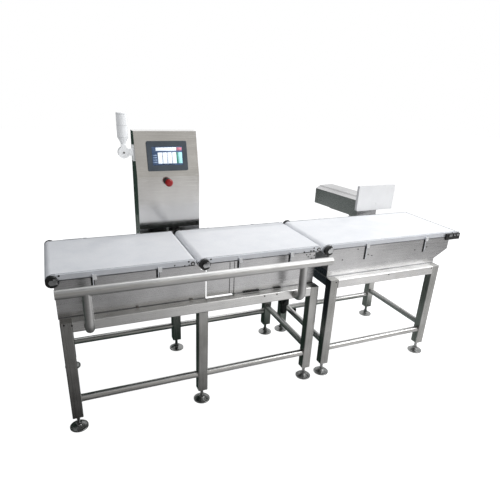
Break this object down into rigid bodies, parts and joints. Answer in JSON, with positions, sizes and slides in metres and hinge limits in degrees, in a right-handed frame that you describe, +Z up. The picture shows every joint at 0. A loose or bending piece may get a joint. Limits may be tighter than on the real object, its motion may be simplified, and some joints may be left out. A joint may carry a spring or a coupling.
{
  "type": "checkweigher",
  "caption": "Weighing conveyor line: infeed, weighing and reject belts on tube stands, with a control cabinet, signal lamp, guard rail and air pusher",
  "frame": {"origin": "on the floor, at the middle of the whole outline", "axes": "+X the way the goods run, from the infeed to the reject belt; +Y from the operator's side to the back; +Z up"},
  "size_m": [2.33, 1.129, 1.403],
  "materials": {
    "brushed_tube": "satin",
    "brushed_sheet": "satin",
    "bright_steel": "polished",
    "zinc_steel": "satin",
    "aluminium_parts": "satin",
    "belt_cloth": "matte",
    "black_plastic": "matte",
    "black_rubber": "matte",
    "motor_paint": "satin",
    "screen_glass": "gloss",
    "white_plastic": "gloss",
    "lamp_plastic": "gloss",
    "red_plastic": "gloss",
    "grey_plastic": "matte"
  },
  "bodies": {
    "machine_frame": {"legs": "brushed_tube", "top_rails": "brushed_tube", "stretchers": "brushed_tube", "infeed_trough": "brushed_sheet", "weigh_trough": "brushed_sheet", "reject_trough": "brushed_sheet", "load_cell": "aluminium_parts", "weigh_spider": "brushed_sheet", "guard_rail": "brushed_tube", "cabinet_shell": "brushed_sheet", "cabinet_bracket": "brushed_sheet", "hinge_pins": "zinc_steel", "control_modules": "grey_plastic", "screen_case": "black_plastic", "screen_glass": "screen_glass", "stop_collar": "black_plastic", "supply_gland": "black_plastic", "lamp_bracket": "white_plastic", "pusher_housing": "brushed_sheet", "pusher_bracket": "brushed_sheet", "air_unit": "black_plastic"},
    "levelling_foot_1": {"foot_1": "zinc_steel"},
    "levelling_foot_2": {"foot_2": "zinc_steel"},
    "levelling_foot_3": {"foot_3": "zinc_steel"},
    "levelling_foot_4": {"foot_4": "zinc_steel"},
    "levelling_foot_5": {"foot_5": "zinc_steel"},
    "levelling_foot_6": {"foot_6": "zinc_steel"},
    "levelling_foot_7": {"foot_7": "zinc_steel"},
    "levelling_foot_8": {"foot_8": "zinc_steel"},
    "levelling_foot_9": {"foot_9": "zinc_steel"},
    "levelling_foot_10": {"foot_10": "zinc_steel"},
    "infeed_conveyor": {"infeed_bed": "brushed_sheet", "infeed_end_blocks": "black_plastic", "infeed_belt": "belt_cloth", "infeed_motor": "motor_paint", "infeed_timing_belt": "black_rubber"},
    "infeed_drive": {"infeed_drive_roller": "bright_steel"},
    "infeed_tail": {"infeed_tail_roller": "bright_steel"},
    "infeed_motor_shaft": {"infeed_motor_pulley": "aluminium_parts"},
    "weigh_conveyor": {"weigh_bed": "brushed_sheet", "weigh_end_blocks": "black_plastic", "weigh_belt": "belt_cloth", "weigh_motor": "motor_paint", "weigh_timing_belt": "black_rubber"},
    "weigh_drive": {"weigh_drive_roller": "bright_steel"},
    "weigh_tail": {"weigh_tail_roller": "bright_steel"},
    "weigh_motor_shaft": {"weigh_motor_pulley": "aluminium_parts"},
    "reject_conveyor": {"reject_bed": "brushed_sheet", "reject_end_blocks": "black_plastic", "reject_belt": "belt_cloth", "reject_motor": "motor_paint", "reject_timing_belt": "black_rubber"},
    "reject_drive": {"reject_drive_roller": "bright_steel"},
    "reject_tail": {"reject_tail_roller": "bright_steel"},
    "reject_motor_shaft": {"reject_motor_pulley": "aluminium_parts"},
    "cabinet_back_door": {"cabinet_door": "brushed_sheet"},
    "door_latch": {"door_lock": "black_plastic"},
    "stop_button": {"stop_head": "red_plastic"},
    "signal_lamp": {"lamp_tube": "lamp_plastic"},
    "pusher_slide": {"push_plate": "white_plastic"}
  },
  "joints": [
    {"name": "foot_1_screw_out", "type": "slide", "parent": "machine_frame", "child": "levelling_foot_1", "axis": [0, 0, -1], "range_m": [0, 0.025]},
    {"name": "foot_2_screw_out", "type": "slide", "parent": "machine_frame", "child": "levelling_foot_2", "axis": [0, 0, -1], "range_m": [0, 0.025]},
    {"name": "foot_3_screw_out", "type": "slide", "parent": "machine_frame", "child": "levelling_foot_3", "axis": [0, 0, -1], "range_m": [0, 0.025]},
    {"name": "foot_4_screw_out", "type": "slide", "parent": "machine_frame", "child": "levelling_foot_4", "axis": [0, 0, -1], "range_m": [0, 0.025]},
    {"name": "foot_5_screw_out", "type": "slide", "parent": "machine_frame", "child": "levelling_foot_5", "axis": [0, 0, -1], "range_m": [0, 0.025]},
    {"name": "foot_6_screw_out", "type": "slide", "parent": "machine_frame", "child": "levelling_foot_6", "axis": [0, 0, -1], "range_m": [0, 0.025]},
    {"name": "foot_7_screw_out", "type": "slide", "parent": "machine_frame", "child": "levelling_foot_7", "axis": [0, 0, -1], "range_m": [0, 0.025]},
    {"name": "foot_8_screw_out", "type": "slide", "parent": "machine_frame", "child": "levelling_foot_8", "axis": [0, 0, -1], "range_m": [0, 0.025]},
    {"name": "foot_9_screw_out", "type": "slide", "parent": "machine_frame", "child": "levelling_foot_9", "axis": [0, 0, -1], "range_m": [0, 0.025]},
    {"name": "foot_10_screw_out", "type": "slide", "parent": "machine_frame", "child": "levelling_foot_10", "axis": [0, 0, -1], "range_m": [0, 0.025]},
    {"name": "infeed_lift_out", "type": "slide", "parent": "machine_frame", "child": "infeed_conveyor", "axis": [0, 0, 1], "range_m": [0, 0.1]},
    {"name": "infeed_drive_turn", "type": "hinge", "parent": "infeed_conveyor", "child": "infeed_drive", "pos_m": [-1.138, -0.19448, 0.763], "axis": [0, 1, 0], "continuous": true},
    {"name": "infeed_tail_turn", "type": "hinge", "parent": "infeed_conveyor", "child": "infeed_tail", "pos_m": [-0.52, -0.19448, 0.772], "axis": [0, 1, 0], "continuous": true},
    {"name": "infeed_motor_turn", "type": "hinge", "parent": "infeed_conveyor", "child": "infeed_motor_shaft", "pos_m": [-1.028, 0.04552, 0.672], "axis": [0, 1, 0], "continuous": true},
    {"name": "weigh_lift_out", "type": "slide", "parent": "machine_frame", "child": "weigh_conveyor", "axis": [0, 0, 1], "range_m": [0, 0.1]},
    {"name": "weigh_drive_turn", "type": "hinge", "parent": "weigh_conveyor", "child": "weigh_drive", "pos_m": [-0.463, -0.19448, 0.763], "axis": [0, 1, 0], "continuous": true},
    {"name": "weigh_tail_turn", "type": "hinge", "parent": "weigh_conveyor", "child": "weigh_tail", "pos_m": [0.171, -0.19448, 0.772], "axis": [0, 1, 0], "continuous": true},
    {"name": "weigh_motor_turn", "type": "hinge", "parent": "weigh_conveyor", "child": "weigh_motor_shaft", "pos_m": [-0.353, 0.04552, 0.672], "axis": [0, 1, 0], "continuous": true},
    {"name": "reject_lift_out", "type": "slide", "parent": "machine_frame", "child": "reject_conveyor", "axis": [0, 0, 1], "range_m": [0, 0.1]},
    {"name": "reject_drive_turn", "type": "hinge", "parent": "reject_conveyor", "child": "reject_drive", "pos_m": [0.228, -0.19448, 0.763], "axis": [0, 1, 0], "continuous": true},
    {"name": "reject_tail_turn", "type": "hinge", "parent": "reject_conveyor", "child": "reject_tail", "pos_m": [1.147, -0.19448, 0.772], "axis": [0, 1, 0], "continuous": true},
    {"name": "reject_motor_turn", "type": "hinge", "parent": "reject_conveyor", "child": "reject_motor_shaft", "pos_m": [0.338, 0.04552, 0.672], "axis": [0, 1, 0], "continuous": true},
    {"name": "door_swing", "type": "hinge", "parent": "machine_frame", "child": "cabinet_back_door", "pos_m": [-0.317, 0.23052, 0.9355], "axis": [0, 0, -1], "range_deg": [0, 110]},
    {"name": "latch_turn", "type": "hinge", "parent": "cabinet_back_door", "child": "door_latch", "pos_m": [-0.637, 0.23952, 0.9355], "axis": [0, 1, 0], "range_deg": [0, 90]},
    {"name": "stop_press", "type": "slide", "parent": "machine_frame", "child": "stop_button", "axis": [0, 1, 0], "range_m": [0, 0.005], "stiffness_N_per_m": 2500},
    {"name": "lamp_fold", "type": "hinge", "parent": "machine_frame", "child": "signal_lamp", "pos_m": [-0.721, 0.17052, 1.202], "axis": [0, 1, 0], "range_deg": [-90, 0]},
    {"name": "pusher_stroke", "type": "slide", "parent": "machine_frame", "child": "pusher_slide", "axis": [-0.1736, 0.9848, 0], "range_m": [-0.32, 0]}
  ],
  "couplings": [
    {"joint": "infeed_tail_turn", "follows": "infeed_drive_turn", "ratio": 1.5294},
    {"joint": "infeed_motor_turn", "follows": "infeed_drive_turn", "ratio": 1.25},
    {"joint": "weigh_tail_turn", "follows": "weigh_drive_turn", "ratio": 1.5294},
    {"joint": "weigh_motor_turn", "follows": "weigh_drive_turn", "ratio": 1.25},
    {"joint": "reject_tail_turn", "follows": "reject_drive_turn", "ratio": 1.5294},
    {"joint": "reject_motor_turn", "follows": "reject_drive_turn", "ratio": 1.25}
  ]
}
